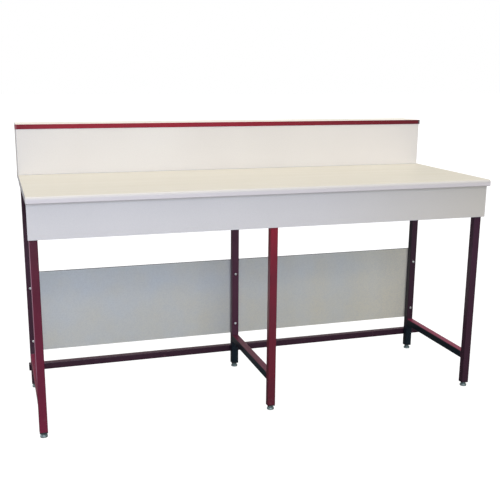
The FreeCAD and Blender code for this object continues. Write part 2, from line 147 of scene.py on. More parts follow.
def near(a, b, reach=0.05 * MM):
    """Whether two places along an axis are the same."""
    return abs(a - b) < reach


def round_edges(piece, radius, steps, test):
    """Round the edges whose ends pass the test."""
    choose(piece, "EDGE", test)
    bpy.ops.mesh.bevel(offset=radius, segments=steps, affect="EDGES")
    rest()


def extrude(shift):
    """Draw the chosen faces out by a shift."""
    bpy.ops.mesh.extrude_region_move(TRANSFORM_OT_translate={"value": shift})


def apply_modifier(piece, kind, **settings):
    """Put a modifier with these settings on a piece and apply it."""
    modifier = piece.modifiers.new(kind.lower(), kind)
    for key, setting in settings.items():
        setattr(modifier, key, setting)
    take(piece)
    bpy.ops.object.modifier_apply(modifier=modifier.name)


def ease(piece, radius, steps=2, angle=50):
    """Take the sharpness off every edge that turns by more than an angle."""
    apply_modifier(
        piece, "BEVEL", width=radius, segments=steps, limit_method="ANGLE", angle_limit=math.radians(angle),
    )


def cut(piece, tool, operation="DIFFERENCE"):
    """Cut a piece with a tool, which is then thrown away."""
    apply_modifier(piece, "BOOLEAN", object=tool, operation=operation, solver="EXACT")
    bpy.data.objects.remove(tool)


def join(name, pieces):
    """Several solids as one piece."""
    take(pieces[0])
    for piece in pieces[1:]:
        piece.select_set(True)
    bpy.ops.object.join()
    return settle(bpy.context.object, name)


def copy_at(master, name, spot, direction=UP):
    """A copy of a master that stands at the origin, with its own mesh."""
    take(master)
    bpy.ops.object.duplicate()
    copy = bpy.context.object
    turn = UP.rotation_difference(direction).to_matrix().to_4x4()
    copy.matrix_world = Matrix.Translation(Vector(spot)) @ turn
    return settle(copy, name)


def bore(piece, wall, axis):
    """Let a bore through a tube: its end faces are inset by the wall and joined by an inner skin."""
    choose(piece, "FACE", lambda centre, normal: abs(normal[axis]) > 0.9)
    bpy.ops.mesh.inset(thickness=wall)
    bpy.ops.mesh.bridge_edge_loops()
    rest()


def drop(*masters):
    """Throw masters away once their copies are made."""
    for master in masters:
        bpy.data.objects.remove(master)


def smooth(piece, angle=38):
    """Soft shading that keeps the broad faces flat."""
    take(piece)
    bpy.ops.object.shade_smooth_by_angle(angle=math.radians(angle))
    apply_modifier(piece, "WEIGHTED_NORMAL", keep_sharp=True, weight=80)


def fit(piece, node, finish=None):
    """Smooth a piece, give it its finish if it has none, and let it stand for a node and ride where
    the node does."""
    smooth(piece)
    if finish:
        piece.data.materials.append(finish)
    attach(piece, frame["nodes"][node]["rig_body"])
    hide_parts(node)


def paint(piece, finishes, choice):
    """Finishes by face: choice gives a finish's number for a face's middle and normal."""
    for finish in finishes:
        piece.data.materials.append(finish)
    for face in piece.data.polygons:
        face.material_index = choice(face.center, face.normal)


# Finishes

# Settings that many nodes share: a mix of colours, a product, and a sum kept between 0 and 1
COLOUR = {"data_type": "RGBA"}
TIMES = {"operation": "MULTIPLY"}
SUM = {"operation": "ADD", "use_clamp": True}


def ink(code):
    """A colour as it looks on a screen, turned into light."""
    shares = [int(code[n:n + 2], 16) / 255 for n in (1, 3, 5)]
    return [s / 12.92 if s <= 0.04045 else ((s + 0.055) / 1.055) ** 2.4 for s in shares] + [1]


def add(tree, kind, settings=None, values=None, links=None):
    """One node, with its settings, its constants and what is wired into it. A map range takes its value
    at 0 and turns the range from 1 to 2 into that from 3 to 4. A colour mix takes its share at 0 and
    its colours at 6 and 7."""
    node = tree.nodes.new("ShaderNode" + kind)
    for key, setting in (settings or {}).items():
        setattr(node, key, setting)
    for key, constant in (values or {}).items():
        node.inputs[key].default_value = constant
    for key, source in (links or {}).items():
        tree.links.new(source, node.inputs[key])
    return node


def surface(name, **constants):
    """A new material with constants on its shader, its node tree, and the link by which a node takes the
    object's coordinates."""
    material = bpy.data.materials.new(name)
    material.use_nodes = True
    tree = material.node_tree
    shader = tree.nodes["Principled BSDF"]
    for key, constant in constants.items():
        shader.inputs[key.replace("_", " ")].default_value = constant
    where = {"Vector": add(tree, "TexCoord").outputs["Object"]}
    return material, tree, where


def dress(material, colour, gloss, bump):
    """Wire a colour mix, a roughness and a bump into the material's shader."""
    tree = material.node_tree
    shader = tree.nodes["Principled BSDF"]
    tree.links.new(colour.outputs[2], shader.inputs["Base Color"])
    tree.links.new(gloss.outputs[0], shader.inputs["Roughness"])
    tree.links.new(bump.outputs[0], shader.inputs["Normal"])
    return material


def high_pressure_laminate():
    """High-pressure laminate: paper and melamine resin pressed hot against a finely etched plate.
    It gives a warm white, half matt and very even, with a fine pearl in its gloss and faint wiping marks."""
    material, tree, where = surface("high_pressure_laminate", IOR=1.5)
    cloud = add(tree, "TexNoise", None, {"Scale": 1 / 0.35, "Detail": 3}, where)
    tone = add(tree, "Mix", COLOUR, {6: ink("#d9d3c4"), 7: ink("#d3cdbd")}, {0: cloud.outputs["Fac"]})
    # Decor paper has a grain of about 1 mm, drawn at 4 mm so that it shows
    fleck = add(tree, "TexNoise", None, {"Scale": 1 / 0.004, "Detail": 2}, where)
    faint = add(tree, "MapRange", None, {1: 0.3, 2: 0.7, 3: 0, 4: 0.18}, {0: fleck.outputs["Fac"]})
    grain = add(tree, "Mix", COLOUR, {7: ink("#c8c2b2")}, {0: faint.outputs[0], 6: tone.outputs[2]})
    # Painted light and shade: below the bend of the nose the sheet is painted a little cooler, for the cool
    # light that falls on it from the front, and the bend itself is painted darker to tone down its highlight
    parts = add(tree, "SeparateXYZ", None, None, where)
    bent = add(tree, "MapRange", None, {1: 0.8945, 2: 0.882, 3: 0, 4: 1}, {0: parts.outputs["Z"]})
    sheet = add(tree, "Mix", COLOUR, {7: ink("#d7cfcb")}, {0: bent.outputs[0], 6: grain.outputs[2]})
    # Painted shade: the faces of the bend that slant up and forward are mixed towards a darker tone
    facing = add(tree, "SeparateXYZ", None, None, {"Vector": add(tree, "NewGeometry").outputs["Normal"]})
    slant = add(tree, "Math", TIMES, None, {0: facing.outputs["Y"], 1: facing.outputs["Z"]})
    bend_shade = add(tree, "MapRange", None, {1: 0, 2: -0.5, 3: 0, 4: 1}, {0: slant.outputs[0]})
    worn = add(tree, "Mix", COLOUR, {7: ink("#c9c3bb")}, {0: bend_shade.outputs[0], 6: sheet.outputs[2]})
    # Cloth wipes leave bands about 60 mm wide along the bench
    stretch = add(tree, "Mapping", None, {"Scale": (1 / 0.6, 1 / 0.06, 1 / 0.06)}, where)
    wipe = add(
        tree, "TexNoise", None, {"Scale": 1, "Detail": 3, "Distortion": 0.6}, {"Vector": stretch.outputs[0]},
    )
    gloss = add(tree, "MapRange", None, {1: 0.3, 2: 0.7, 3: 0.36, 4: 0.47}, {0: wipe.outputs["Fac"]})
    # The press plate's pearl is about 0.9 mm
    pearl = add(tree, "TexNoise", None, {"Scale": 1 / 0.0009, "Detail": 1}, where)
    bump = add(tree, "Bump", None, {"Strength": 0.12, "Distance": 0.00006}, {"Height": pearl.outputs["Fac"]})
    return dress(material, worn, gloss, bump)


def melamine_board(name, tones):
    """Melamine-faced chipboard: a printed paper pressed on with a pearl plate. It gives an even tone, duller
    than laminate, with slight waves of the chips under it. Tones are the two that it clouds between, that of
    the print's speckle, and the one that its right end is painted towards, lighter on some boards and darker
    on others, as painted light and shade for how the light falls off along the bench."""
    material, tree, where = surface(name, IOR=1.5)
    cloud = add(tree, "TexNoise", None, {"Scale": 1 / 0.25, "Detail": 2}, where)
    tone = add(tree, "Mix", COLOUR, {6: ink(tones[0]), 7: ink(tones[1])}, {0: cloud.outputs["Fac"]})
    # Print speckle of about 1 mm, drawn at 5 mm so that it shows
    fleck = add(tree, "TexNoise", None, {"Scale": 1 / 0.005, "Detail": 2}, where)
    faint = add(tree, "MapRange", None, {1: 0.35, 2: 0.7, 3: 0, 4: 0.2}, {0: fleck.outputs["Fac"]})
    grain = add(tree, "Mix", COLOUR, {7: ink(tones[2])}, {0: faint.outputs[0], 6: tone.outputs[2]})
    # Painted light and shade: towards the right end the board is mixed to its end tone
    parts = add(tree, "SeparateXYZ", None, None, where)
    right = add(tree, "MapRange", None, {1: 0.15, 2: 0.85, 3: 0, 4: 1}, {0: parts.outputs["X"]})
    painted_end_light = add(tree, "Mix", COLOUR, {7: ink(tones[3])}, {0: right.outputs[0], 6: grain.outputs[2]})
    gloss = add(tree, "MapRange", None, {1: 0.3, 2: 0.7, 3: 0.42, 4: 0.51}, {0: cloud.outputs["Fac"]})
    # Pearl of 1.2 mm over chip waves of 12 mm
    pearl = add(tree, "TexNoise", None, {"Scale": 1 / 0.0012, "Detail": 1}, where)
    chips = add(tree, "TexNoise", None, {"Scale": 1 / 0.012, "Detail": 1}, where)
    waves = add(tree, "Bump", None, {"Strength": 0.05, "Distance": 0.0002}, {"Height": chips.outputs["Fac"]})
    bump = add(
        tree, "Bump", None, {"Strength": 0.12, "Distance": 0.00008},
        {"Height": pearl.outputs["Fac"], "Normal": waves.outputs[0]},
    )
    return dress(material, painted_end_light, gloss, bump)


def abs_edge_band():
    """ABS edge band, extruded, glued on hot and milled flush. It gives a slightly glossier line than the
    board, with fine lengthwise milling marks."""
    material, tree, where = surface("abs_edge_band", IOR=1.53)
    cloud = add(tree, "TexNoise", None, {"Scale": 1 / 0.08, "Detail": 2}, where)
    tone = add(tree, "Mix", COLOUR, {6: ink("#dfdedf"), 7: ink("#d6d5d6")}, {0: cloud.outputs["Fac"]})
    # Cutter marks about 1.5 mm apart
    marks = add(tree, "TexNoise", None, {"Scale": 1 / 0.0015, "Detail": 1}, where)
    gloss = add(tree, "MapRange", None, {1: 0.3, 2: 0.7, 3: 0.3, 4: 0.42}, {0: marks.outputs["Fac"]})
    bump = add(tree, "Bump", None, {"Strength": 0.08, "Distance": 0.00005}, {"Height": marks.outputs["Fac"]})
    return dress(material, tone, gloss, bump)


def grey_melamine():
    """Grey melamine board of the rear panel, with soft mottling as wide as a hand. Painted light and shade:
    its colour drifts from a cold grey at the upper left to a warmer one at the lower right, and it is
    painted palest at the right end, for how the light falls across the panel."""
    material, tree, where = surface("grey_melamine", IOR=1.5)
    parts = add(tree, "SeparateXYZ", None, None, where)
    # Painted light and shade: the colour drifts across the panel and down it
    across = add(tree, "MapRange", None, {1: -0.9, 2: 0.9, 3: 0, 4: 0.6}, {0: parts.outputs["X"]})
    down = add(tree, "MapRange", None, {1: 0.42, 2: 0.22, 3: 0, 4: 0.4}, {0: parts.outputs["Z"]})
    painted_light_drift = add(tree, "Math", SUM, None, {0: across.outputs[0], 1: down.outputs[0]})
    mottle = add(tree, "TexNoise", None, {"Scale": 1 / 0.11, "Detail": 3}, where)
    wander = add(tree, "MapRange", None, {1: 0.3, 2: 0.7, 3: -0.22, 4: 0.22}, {0: mottle.outputs["Fac"]})
    share = add(tree, "Math", SUM, None, {0: painted_light_drift.outputs[0], 1: wander.outputs[0]})
    tone = add(tree, "Mix", COLOUR, {6: ink("#cacecd"), 7: ink("#d4ceb9")}, {0: share.outputs[0]})
    # Painted light: the right end is mixed towards a paler tone
    end = add(tree, "MapRange", None, {1: 0.55, 2: 0.86, 3: 0, 4: 1}, {0: parts.outputs["X"]})
    pale = add(tree, "Mix", COLOUR, {7: ink("#e2dbc4")}, {0: end.outputs[0], 6: tone.outputs[2]})
    # Print speckle of about 1 mm, drawn at 5 mm so that it shows
    fleck = add(tree, "TexNoise", None, {"Scale": 1 / 0.005, "Detail": 2}, where)
    faint = add(tree, "MapRange", None, {1: 0.35, 2: 0.7, 3: 0, 4: 0.3}, {0: fleck.outputs["Fac"]})
    grain = add(tree, "Mix", COLOUR, {7: ink("#b5b6b5")}, {0: faint.outputs[0], 6: pale.outputs[2]})
    gloss = add(tree, "MapRange", None, {1: 0.3, 2: 0.7, 3: 0.42, 4: 0.52}, {0: mottle.outputs["Fac"]})
    pearl = add(tree, "TexNoise", None, {"Scale": 1 / 0.0012, "Detail": 1}, where)
    bump = add(tree, "Bump", None, {"Strength": 0.12, "Distance": 0.00008}, {"Height": pearl.outputs["Fac"]})
    return dress(material, grain, gloss, bump)


def sawn_core():
    """The panel's sawn and sealed core: dark resin with paler chips, fully matt."""
    material, tree, where = surface("sawn_core", IOR=1.5)
    # Chips about 2.5 mm long
    chips = add(tree, "TexVoronoi", None, {"Scale": 1 / 0.0025}, where)
    apart = chips.outputs["Distance"]
    share = add(tree, "MapRange", None, {1: 0, 2: 0.6, 3: 0, 4: 1}, {0: apart})
    tone = add(tree, "Mix", COLOUR, {6: ink("#4d4b4c"), 7: ink("#393a3d")}, {0: share.outputs[0]})
    gloss = add(tree, "MapRange", None, {1: 0, 2: 0.6, 3: 0.6, 4: 0.75}, {0: apart})
    bump = add(tree, "Bump", None, {"Strength": 0.3, "Distance": 0.0002}, {"Height": apart})
    return dress(material, tone, gloss, bump)


def balancing_paper():
    """Backing sheet under the worktop: kraft paper with a thin resin coat. It gives a dull beige grey
    with long fibres along the sheet."""
    material, tree, where = surface("balancing_paper", IOR=1.45)
    # Fibres about 25 mm long and 2 mm wide
    stretch = add(tree, "Mapping", None, {"Scale": (1 / 0.025, 1 / 0.002, 1 / 0.002)}, where)
    fibre = add(tree, "TexNoise", None, {"Scale": 1, "Detail": 3}, {"Vector": stretch.outputs[0]})
    tone = add(tree, "Mix", COLOUR, {6: ink("#cfc8ba"), 7: ink("#bdb4a3")}, {0: fibre.outputs["Fac"]})
    gloss = add(tree, "MapRange", None, {1: 0.3, 2: 0.7, 3: 0.55, 4: 0.7}, {0: fibre.outputs["Fac"]})
    bump = add(tree, "Bump", None, {"Strength": 0.15, "Distance": 0.0001}, {"Height": fibre.outputs["Fac"]})
    return dress(material, tone, gloss, bump)


def burgundy_epoxy(name, tones, top_sheen, reach=(0.02, 0.72), low_shade=0, left_shade=0, edge=0):
    """Epoxy powder coat on steel tube, sprayed and baked. It gives a glossy skin with the dimples of orange
    peel, and it is scuffed matt near the floor. Painted light and shade: its tone differs from tube to tube
    and from foot to top for how the light falls on each, faces that look up are painted paler as a painted
    sheen, the last 150 mm and sides that look left are painted dark as painted shade, and corners facing
    front left or back right carry a painted highlight. Tones are those at the foot, at the top and of the
    dust specks, and reach is the heights between which the tone changes. The four numbers after reach are
    how much of the painted sheen, the painted shade near the floor, the painted shade on the left and the
    painted corner highlight shows."""
    material, tree, where = surface(name, IOR=1.5, Specular_IOR_Level=0.3)
    parts = add(tree, "SeparateXYZ", None, None, where)
    cloud = add(tree, "TexNoise", None, {"Scale": 1 / 0.12, "Detail": 2}, where)
    wander = add(tree, "MapRange", None, {1: 0.3, 2: 0.7, 3: -0.15, 4: 0.15}, {0: cloud.outputs["Fac"]})
    # Painted light and shade: the tone runs from the foot's to the top's over the reach, for how the light
    # falls along the tube
    rise = add(tree, "MapRange", None, {1: reach[0], 2: reach[1], 3: 0, 4: 1}, {0: parts.outputs["Z"]})
    depth = add(tree, "Math", SUM, None, {0: rise.outputs[0], 1: wander.outputs[0]})
    tone = add(tree, "Mix", COLOUR, {6: ink(tones[0]), 7: ink(tones[1])}, {0: depth.outputs[0]})
    # Dust specks of about 1 mm, drawn at 3 mm so that they show
    fleck = add(tree, "TexNoise", None, {"Scale": 1 / 0.003, "Detail": 2}, where)
    faint = add(tree, "MapRange", None, {1: 0.45, 2: 0.75, 3: 0, 4: 0.3}, {0: fleck.outputs["Fac"]})
    coat = add(tree, "Mix", COLOUR, {7: ink(tones[2])}, {0: faint.outputs[0], 6: tone.outputs[2]})
    facing = add(tree, "SeparateXYZ", None, None, {"Vector": add(tree, "NewGeometry").outputs["Normal"]})
    # Painted sheen: faces that look up are mixed towards a paler pink
    top_sheen_share = add(tree, "MapRange", None, {1: 0.5, 2: 0.95, 3: 0, 4: top_sheen}, {0: facing.outputs["Z"]})
    sheened_coat = add(tree, "Mix", COLOUR, {7: ink("#b82c5c")}, {0: top_sheen_share.outputs[0], 6: coat.outputs[2]})
    # Shoes reach up to about 200 mm and leave marks of 10 to 20 mm
    low = add(tree, "MapRange", None, {1: 0.02, 2: 0.2, 3: 1, 4: 0}, {0: parts.outputs["Z"]})
    scuff = add(tree, "TexNoise", None, {"Scale": 1 / 0.015, "Detail": 4, "Distortion": 0.8}, where)
    mark = add(tree, "MapRange", None, {1: 0.6, 2: 0.72, 3: 0, 4: 0.3}, {0: scuff.outputs["Fac"]})
    worn = add(tree, "Math", TIMES, None, {0: low.outputs[0], 1: mark.outputs[0]})
    skin = add(tree, "Mix", COLOUR, {7: ink("#7a4a54")}, {0: worn.outputs[0], 6: sheened_coat.outputs[2]})
    # Painted shade darkens the last 150 mm and the sides that look left, and a painted highlight runs down
    # the corners facing front left or back right above the stretcher
    floor = add(tree, "MapRange", None, {1: 0.115, 2: 0.15, 3: low_shade, 4: 0}, {0: parts.outputs["Z"]})
    left = add(tree, "MapRange", None, {1: -0.5, 2: -0.9, 3: 0, 4: left_shade}, {0: facing.outputs["X"]})
    shade_share = add(tree, "Math", {"operation": "MAXIMUM"}, None, {0: floor.outputs[0], 1: left.outputs[0]})
    shaded_coat = add(tree, "Mix", COLOUR, {7: ink("#12232a")}, {0: shade_share.outputs[0], 6: skin.outputs[2]})
    # Painted highlight: corners facing front left or back right are mixed towards a pale pink above the
    # stretcher
    slant = add(tree, "Math", TIMES, None, {0: facing.outputs["X"], 1: facing.outputs["Y"]})
    corner = add(tree, "MapRange", None, {1: 0.1, 2: 0.35, 3: 0, 4: 1}, {0: slant.outputs[0]})
    high = add(tree, "MapRange", None, {1: 0.18, 2: 0.26, 3: 0, 4: edge}, {0: parts.outputs["Z"]})
    corner_glint = add(tree, "Math", TIMES, None, {0: corner.outputs[0], 1: high.outputs[0]})
    pale = add(tree, "Mix", COLOUR, {7: ink("#c795a5")}, {0: corner_glint.outputs[0], 6: shaded_coat.outputs[2]})
    gloss = add(tree, "MapRange", None, {1: 0, 2: 0.3, 3: 0.28, 4: 0.5}, {0: worn.outputs[0]})
    # Orange peel of about 1.8 mm
    peel = add(tree, "TexNoise", None, {"Scale": 1 / 0.0018, "Detail": 1}, where)
    bump = add(tree, "Bump", None, {"Strength": 0.18, "Distance": 0.00012}, {"Height": peel.outputs["Fac"]})
    return dress(material, pale, gloss, bump)


def red_pvc():
    """Rigid PVC profile, extruded. It gives a clear red with fine lines along its length. It is darker by
    degrees over its right half, and its last centimetres on the left carry a painted shade."""
    material, tree, where = surface("red_pvc", IOR=1.54, Specular_IOR_Level=0.15)
    # Die lines about 0.8 mm apart and 300 mm long
    stretch = add(tree, "Mapping", None, {"Scale": (1 / 0.3, 1 / 0.0008, 1 / 0.0008)}, where)
    lines = add(tree, "TexNoise", None, {"Scale": 1, "Detail": 2}, {"Vector": stretch.outputs[0]})
    cloud = add(tree, "TexNoise", None, {"Scale": 1 / 0.2, "Detail": 2}, where)
    tone = add(tree, "Mix", COLOUR, {6: ink("#951b2c"), 7: ink("#851a29")}, {0: cloud.outputs["Fac"]})
    # Darker by degrees towards the right, and painted shade over the last centimetres on the left
    parts = add(tree, "SeparateXYZ", None, None, where)
    right = add(tree, "MapRange", None, {1: -0.1, 2: 0.85, 3: 0, 4: 0.9}, {0: parts.outputs["X"]})
    left = add(tree, "MapRange", None, {1: -0.8, 2: -0.92, 3: 0, 4: 0.45}, {0: parts.outputs["X"]})
    ends = add(tree, "Math", SUM, None, {0: right.outputs[0], 1: left.outputs[0]})
    darker_ends = add(tree, "Mix", COLOUR, {7: ink("#601720")}, {0: ends.outputs[0], 6: tone.outputs[2]})
    gloss = add(tree, "MapRange", None, {1: 0.3, 2: 0.7, 3: 0.46, 4: 0.6}, {0: lines.outputs["Fac"]})
    bump = add(tree, "Bump", None, {"Strength": 0.1, "Distance": 0.00005}, {"Height": lines.outputs["Fac"]})
    return dress(material, darker_ends, gloss, bump)


def moulded_plastic(name, tones, roughness):
    """Injection-moulded polyamide from a spark-eroded mould: an even fine grain, matt, clouded between two
    tones."""
    material, tree, where = surface(name, IOR=1.53)
    cloud = add(tree, "TexNoise", None, {"Scale": 1 / 0.01, "Detail": 3}, where)
    tone = add(tree, "Mix", COLOUR, {6: ink(tones[0]), 7: ink(tones[1])}, {0: cloud.outputs["Fac"]})
    gloss = add(
        tree, "MapRange", None, {1: 0.3, 2: 0.7, 3: roughness - 0.06, 4: roughness + 0.08},
        {0: cloud.outputs["Fac"]},
    )
    # Eroded grain of about 0.35 mm
    grain = add(tree, "TexNoise", None, {"Scale": 1 / 0.00035, "Detail": 1}, where)
    bump = add(tree, "Bump", None, {"Strength": 0.2, "Distance": 0.00004}, {"Height": grain.outputs["Fac"]})
    return dress(material, tone, gloss, bump)


def zinc_plate(name, tones, roughness):
    """Zinc on turned steel, passivated blue. It gives a cool silver with a breath of yellow and fine turning
    marks. Tones are the two that it clouds between, and the pads and studs take a darker, greyer pair with a
    rougher finish."""
    material, tree, where = surface(name, Metallic=1)
    cloud = add(tree, "TexNoise", None, {"Scale": 1 / 0.008, "Detail": 3}, where)
    tone = add(tree, "Mix", COLOUR, {6: ink(tones[0]), 7: ink(tones[1])}, {0: cloud.outputs["Fac"]})
    # Turning marks about 0.3 mm apart
    stretch = add(tree, "Mapping", None, {"Scale": (1 / 0.004, 1 / 0.004, 1 / 0.0003)}, where)
    marks = add(tree, "TexNoise", None, {"Scale": 1, "Detail": 2}, {"Vector": stretch.outputs[0]})
    gloss = add(
        tree, "MapRange", None, {1: 0.3, 2: 0.7, 3: roughness, 4: roughness + 0.16},
        {0: marks.outputs["Fac"]},
    )
    bump = add(tree, "Bump", None, {"Strength": 0.1, "Distance": 0.00003}, {"Height": marks.outputs["Fac"]})
    return dress(material, tone, gloss, bump)


def planed_beech():
    """Planed beech, unfinished: a pale pinkish brown with short darker flecks along the grain."""
    material, tree, where = surface("planed_beech", IOR=1.45)
    # Year rings about 3 mm apart along the blocks
    stretch = add(tree, "Mapping", None, {"Scale": (1 / 0.05, 1 / 0.003, 1 / 0.003)}, where)
    rings = add(
        tree, "TexNoise", None, {"Scale": 1, "Detail": 4, "Distortion": 0.4}, {"Vector": stretch.outputs[0]},
    )
    tone = add(tree, "Mix", COLOUR, {6: ink("#cda57a"), 7: ink("#b58a60")}, {0: rings.outputs["Fac"]})
    # Ray flecks about 2 mm long and 0.5 mm wide
    short = add(tree, "Mapping", None, {"Scale": (1 / 0.002, 1 / 0.0005, 1 / 0.0005)}, where)
    flecks = add(tree, "TexNoise", None, {"Scale": 1, "Detail": 1}, {"Vector": short.outputs[0]})
    faint = add(tree, "MapRange", None, {1: 0.6, 2: 0.75, 3: 0, 4: 0.5}, {0: flecks.outputs["Fac"]})
    grain = add(tree, "Mix", COLOUR, {7: ink("#8f6641")}, {0: faint.outputs[0], 6: tone.outputs[2]})
    gloss = add(tree, "MapRange", None, {1: 0.3, 2: 0.7, 3: 0.55, 4: 0.68}, {0: rings.outputs["Fac"]})
    bump = add(tree, "Bump", None, {"Strength": 0.2, "Distance": 0.0001}, {"Height": rings.outputs["Fac"]})
    return dress(material, grain, gloss, bump)


LAMINATE = high_pressure_laminate()
BACKING = balancing_paper()
BAND = abs_edge_band()
WHITE = melamine_board("white_melamine", ("#dcd6cb", "#d7d0c5", "#ccc5bb", "#e1dad0"))
# Painted light and shade: the fascia's board is the same melamine painted darker and cooler as painted
# shade, and the upstand's left end and the shelf are painted lighter as painted light
SHADED_WHITE = melamine_board("shaded_white_melamine", ("#dad5cf", "#d4cfc9", "#cac5c0", "#d0c9bc"))
LIT_WHITE = melamine_board("lit_white_melamine", ("#efeadf", "#e9e4da", "#ded9cf", "#efeadf"))
GREY = grey_melamine()
CORE = sawn_core()
# One epoxy coat in lit and shaded copies: the clear tones are the plainest, and the others are painted light
# and painted shade for how the light falls on each tube
CLEAR_TONES = ("#742339", "#52182a", "#752a3e")
SHADED_TONES = ("#3a222e", "#3a222e", "#4e2c3c")
EPOXY = burgundy_epoxy("burgundy_epoxy", CLEAR_TONES, 0.1)
GLINT_EPOXY = burgundy_epoxy("burgundy_epoxy_glint", CLEAR_TONES, 0.1, edge=0.5)
LIT_EPOXY = burgundy_epoxy(
    "burgundy_epoxy_lit", ("#69212e", "#9b1a2f", "#7d2838"), 0.1, reach=(0.55, 0.77), low_shade=0.2,
)
DIM_SHADED_EPOXY = burgundy_epoxy("burgundy_epoxy_dim_shaded", ("#4a2838", "#572e41", "#5d3446"), 0.1, low_shade=0.95)
SHADED_EPOXY = burgundy_epoxy("burgundy_epoxy_shaded", ("#3a222e", "#442637", "#4e2c3c"), 0.05)
LOW_LEFT_SHADED_EPOXY = burgundy_epoxy(
    "burgundy_epoxy_low_left_shaded", ("#34202b", "#402736", "#4c2e3c"), 0.1, low_shade=0.9, left_shade=0.5,
)
SHEEN_SHADED_EPOXY = burgundy_epoxy("burgundy_epoxy_sheen_shaded", SHADED_TONES, 0.35, left_shade=0.95)
STRONG_SHEEN_SHADED_EPOXY = burgundy_epoxy("burgundy_epoxy_strong_sheen_shaded", SHADED_TONES, 0.6, left_shade=0.95)
RED = red_pvc()
DARK_GREY = moulded_plastic("dark_grey_polyamide", ("#55474a", "#483c3f"), 0.5)
DULL_RED = moulded_plastic("dull_red_polyamide", ("#8c383c", "#7c3034"), 0.5)
BLACK = moulded_plastic("black_polyamide", ("#1b1c1f", "#121316"), 0.52)
ZINC = zinc_plate("zinc_plate", ("#d6dde0", "#d8d7cb"), 0.34)
DULL_ZINC = zinc_plate("zinc_plate_dull", ("#a9bcba", "#9aa9a5"), 0.46)
BEECH = planed_beech()


# Boards

def edge_banded_board(name, node, axis, face=WHITE):
    """A melamine board whose narrow sides carry a band 1 mm thick, milled to a small radius. The face
    stops at a hairline of glue beside the band."""
    board = block(name, *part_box(node))
    ease(board, 0.9 * MM, 3)
    choose(board, "FACE", lambda centre, normal: abs(normal[axis]) > 0.99)
    bpy.ops.mesh.inset(thickness=0.25 * MM, depth=-0.08 * MM)
    rest()
    paint(board, [face, BAND], lambda centre, normal: int(abs(normal[axis]) < 0.99))
    fit(board, node)


def laminate_worktop():
    """The worktop: its laminate is bent over the front edge in one sheet, and its ends are banded."""
    nose, drip = 10 * MM, 3 * MM
    low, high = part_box("worktop")
    top = block("laminate_worktop", low, high)
    round_edges(top, nose, 14, lambda a, b: all(near(p.y, low.y) and near(p.z, high.z) for p in (a, b)))
    round_edges(top, drip, 6, lambda a, b: all(near(p.y, low.y) and near(p.z, low.z) for p in (a, b)))
    ease(top, 0.4 * MM)
    # The sheet stands 0.7 mm thick round the banded ends
    choose(top, "FACE", lambda centre, normal: abs(normal.x) > 0.99)
    bpy.ops.mesh.inset(thickness=0.7 * MM, depth=-0.12 * MM)
    rest()

    def finish(centre, normal):
        """Bands on the ends and the back, backing underneath, and laminate over all the rest."""
        if abs(normal.x) > 0.9 or normal.y > 0.9:
            return 1
        return 2 if normal.z < -0.9 and centre.y > low.y + drip + 1 * MM else 0

    paint(top, [LAMINATE, BAND, BACKING], finish)
    fit(top, "worktop")


def grey_panel():
    """The rear panel: grey faces on both sides and a sealed saw cut all round."""
    panel = block("grey_panel", *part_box("rear_panel"))
    ease(panel, 0.5 * MM)
    paint(panel, [GREY, CORE], lambda centre, normal: int(abs(normal.y) < 0.9))
    fit(panel, "rear_panel")


laminate_worktop()
grey_panel()
edge_banded_board("fascia_board", "front_fascia", Y, SHADED_WHITE)
edge_banded_board("upstand_face_board", "upstand_front", Y)
edge_banded_board("upstand_left_board", "upstand_left_end", X, LIT_WHITE)
edge_banded_board("upstand_right_board", "upstand_right_end", X)
edge_banded_board("shelf_board", "upstand_shelf", Z, LIT_WHITE)


# Steel tubes

# The tubes whose coat differs from the shaded one of the others, each a lit or shaded copy painted for how
# the light falls on it
COATS = {
    "front_left_leg": GLINT_EPOXY, "front_centre_leg": LIT_EPOXY,
    "rear_centre_leg": DIM_SHADED_EPOXY, "rear_right_leg": LOW_LEFT_SHADED_EPOXY,
    "left_side_rail": EPOXY, "centre_side_rail": SHEEN_SHADED_EPOXY, "right_side_rail": STRONG_SHEEN_SHADED_EPOXY,
}


def square_tube(name, node, axis, corner=TUBE_CORNER):
    """Welded square tube: a block with its long edges rounded and its bore let in."""
    low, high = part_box(node)
    tube = block(name, low, high)
    reach = 0.9 * (high - low)[axis]
    round_edges(tube, corner, 6, lambda a, b: abs((a - b)[axis]) > reach)
    bore(tube, WALL, axis)
    fit(tube, node, COATS.get(node, SHADED_EPOXY))


for place in FRAMES:
    for row in ROWS:
        square_tube(f"{row}_{place}_tube", f"{row}_{place}_leg", Z)
    square_tube(f"{place}_bearer_tube", f"{place}_top_rail", Y)
    square_tube(f"{place}_stretcher_tube", f"{place}_side_rail", Y)
square_tube("rear_stretcher_tube", "rear_rail", X, RAIL_CORNER)


# Weld beads

def bead_run(length):
    """One straight run of weld with tapered ends. The pool leaves ripples as it freezes, and every
    other ring of its 16 stands out."""
    rings = 16
    bead = rod("bead_run", (0, 0, -length / 2), 1.7 * MM, length, 10)
    choose(bead, "EDGE", lambda a, b: abs((a - b).z) > length / 2)
    bpy.ops.mesh.subdivide(number_cuts=rings - 1)
    rest()
    pitch = length / rings
    choose(bead, "VERT", lambda point: round((point.z + length / 2) / pitch) % 2 == 1)
    bpy.ops.transform.resize(value=(1.14, 1.14, 1))
    rest()
    choose(bead, "VERT", lambda point: abs(point.z) > length / 2 - 0.1 * pitch)
    bpy.ops.transform.resize(value=(0.45, 0.45, 1))
    rest()
    return bead


def weld(name, master, runs):
    """Runs of weld as one piece. Each run is its middle and its direction."""
    piece = join(name, [copy_at(master, name, spot, direction) for spot, direction in runs])
    smooth(piece, 60)
    piece.data.materials.append(SHADED_EPOXY)
    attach(piece, "frame")


